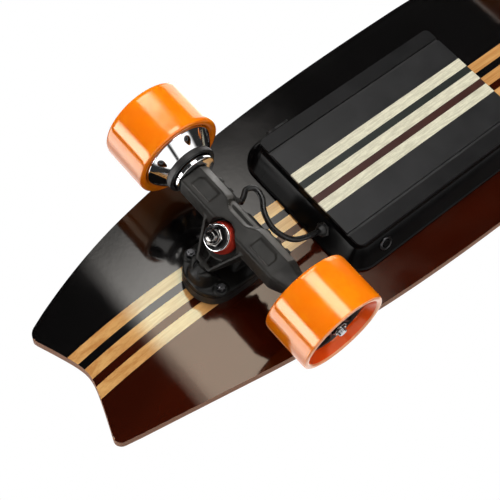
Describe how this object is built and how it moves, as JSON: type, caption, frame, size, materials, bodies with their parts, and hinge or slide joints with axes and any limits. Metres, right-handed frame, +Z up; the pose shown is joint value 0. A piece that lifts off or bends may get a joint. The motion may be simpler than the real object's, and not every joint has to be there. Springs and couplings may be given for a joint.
{
  "type": "electric skateboard",
  "caption": "Electric skateboard: lacquered deck with a fish tail, belly enclosure, sprung trucks, one hub-motor rear wheel and three rolling wheels.",
  "frame": {"origin": "on the ground under the middle of the board, wheels resting on z = 0", "axes": "+X to the nose, +Y to the rider's left, +Z up"},
  "size_m": [0.796, 0.2584, 0.1488],
  "materials": {
    "deck": "gloss lacquer",
    "grip_tape": "gritty",
    "enclosure_plastic": "satin",
    "lid": "satin",
    "rubber": "matt",
    "battery": "satin film",
    "circuit_board": "satin",
    "chrome": "polished",
    "cast_metal": "satin, cast",
    "bushing": "semi-gloss",
    "tyre": "gloss urethane",
    "stator": "wound copper",
    "wheel_core": "satin",
    "steel": "zinc plated"
  },
  "bodies": {
    "board": {"deck": "deck", "grip_tape": "grip_tape", "enclosure_housing": "enclosure_plastic", "enclosure_lid": "lid", "enclosure_gasket": "rubber", "battery_pack": "battery", "controller_board": "circuit_board", "charge_socket": "enclosure_plastic", "button_bezel": "chrome", "cable_gland": "rubber", "motor_cable": "rubber", "rear_riser": "rubber", "rear_baseplate": "cast_metal", "rear_kingpin": "steel", "rear_kingpin_nut": "steel", "rear_cup_washer": "chrome", "rear_bushing_outer": "bushing", "rear_bushing_inner": "bushing", "rear_pivot_cup": "rubber", "rear_bolt_1": "steel", "rear_bolt_2": "steel", "rear_bolt_3": "steel", "rear_bolt_4": "steel", "front_riser": "rubber", "front_baseplate": "cast_metal", "front_kingpin": "steel", "front_kingpin_nut": "steel", "front_cup_washer": "chrome", "front_bushing_outer": "bushing", "front_bushing_inner": "bushing", "front_pivot_cup": "rubber", "front_bolt_1": "steel", "front_bolt_2": "steel", "front_bolt_3": "steel", "front_bolt_4": "steel"},
    "charge_flap": {"charge_cap": "rubber"},
    "button": {"power_button": "enclosure_plastic"},
    "rear_hanger_body": {"rear_hanger": "cast_metal", "rear_axle": "steel", "rear_left_axle_nut": "steel", "rear_right_axle_nut": "steel", "rear_right_stator": "stator"},
    "rear_left_wheel": {"rear_left_tyre": "tyre", "rear_left_core": "wheel_core", "rear_left_bearing_inner": "steel", "rear_left_bearing_outer": "steel"},
    "rear_right_wheel": {"rear_right_tyre": "tyre", "rear_right_motor_can": "chrome"},
    "front_hanger_body": {"front_hanger": "cast_metal", "front_axle": "steel", "front_left_axle_nut": "steel", "front_right_axle_nut": "steel"},
    "front_left_wheel": {"front_left_tyre": "tyre", "front_left_core": "wheel_core", "front_left_bearing_inner": "steel", "front_left_bearing_outer": "steel"},
    "front_right_wheel": {"front_right_tyre": "tyre", "front_right_core": "wheel_core", "front_right_bearing_inner": "steel", "front_right_bearing_outer": "steel"}
  },
  "joints": [
    {"name": "rear_steer", "type": "hinge", "parent": "board", "child": "rear_hanger_body", "pos_m": [-0.2335, 0, 0.0566], "axis": [0.788, 0, -0.6157], "range_deg": [-12, 12], "stiffness_Nm_per_rad": 70, "deforming": ["rear_bushing_outer", "rear_bushing_inner", "motor_cable"]},
    {"name": "rear_left_wheel_spin", "type": "hinge", "parent": "rear_hanger_body", "child": "rear_left_wheel", "pos_m": [-0.2215, 0.1044, 0.0415], "axis": [0, 1, 0], "continuous": true},
    {"name": "rear_right_wheel_spin", "type": "hinge", "parent": "rear_hanger_body", "child": "rear_right_wheel", "pos_m": [-0.2215, -0.1044, 0.0415], "axis": [0, 1, 0], "continuous": true},
    {"name": "front_steer", "type": "hinge", "parent": "board", "child": "front_hanger_body", "pos_m": [0.2855, 0, 0.0566], "axis": [-0.788, 0, -0.6157], "range_deg": [-12, 12], "stiffness_Nm_per_rad": 70, "deforming": ["front_bushing_outer", "front_bushing_inner"]},
    {"name": "front_left_wheel_spin", "type": "hinge", "parent": "front_hanger_body", "child": "front_left_wheel", "pos_m": [0.2735, 0.1044, 0.0415], "axis": [0, 1, 0], "continuous": true},
    {"name": "front_right_wheel_spin", "type": "hinge", "parent": "front_hanger_body", "child": "front_right_wheel", "pos_m": [0.2735, -0.1044, 0.0415], "axis": [0, 1, 0], "continuous": true},
    {"name": "power_button_press", "type": "slide", "parent": "board", "child": "button", "axis": [0, -0.911, 0.4125], "range_m": [0, 0.0015], "stiffness_N_per_m": 400},
    {"name": "charge_cap_hinge", "type": "hinge", "parent": "board", "child": "charge_flap", "pos_m": [-0.0985, -0.07659, 0.0951], "axis": [0, -0.4125, 0.911], "range_deg": [0, 110]}
  ]
}
